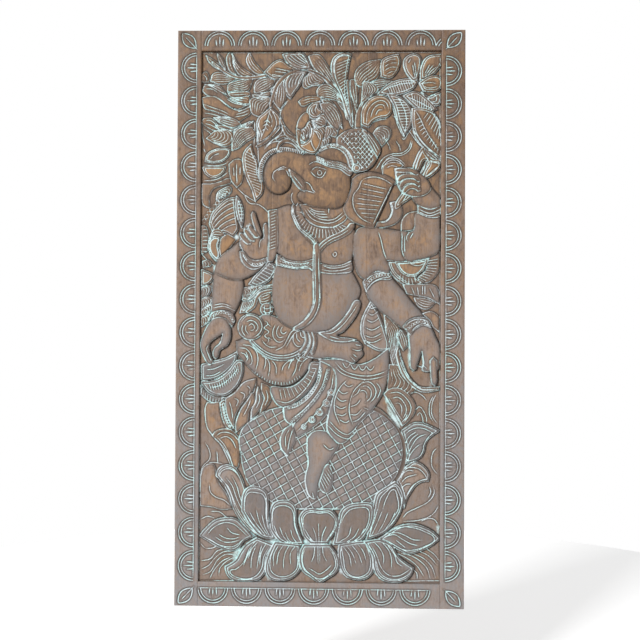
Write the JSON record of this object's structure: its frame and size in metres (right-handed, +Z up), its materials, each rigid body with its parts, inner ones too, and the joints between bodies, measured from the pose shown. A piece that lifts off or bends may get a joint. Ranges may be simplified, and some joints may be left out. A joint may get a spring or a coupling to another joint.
{
  "type": "carved wall panel",
  "caption": "Tall framed timber wall panel carved in relief with a seated elephant-headed figure over a lotus, with leafy scrolls and a scalloped border.",
  "frame": {"origin": "centre of the back face, where the panel meets the wall", "axes": "+Y out of the back into the wall, so the carved face looks towards -Y; +Z up; +X to the viewer's right"},
  "size_m": [0.9144, 0.038, 1.8288],
  "materials": {
    "washed_field_timber": "carved hardwood, brown under a rubbed pale grey-turquoise wash that stays in the grooves",
    "washed_frame_timber": "hardwood, brown-grey, with the same pale wash in its incised border"
  },
  "bodies": {
    "root": {"left_board": "washed_field_timber", "centre_board": "washed_field_timber", "right_board": "washed_field_timber", "left_stile": "washed_frame_timber", "right_stile": "washed_frame_timber", "top_rail": "washed_frame_timber", "bottom_rail": "washed_frame_timber"}
  },
  "joints": []
}
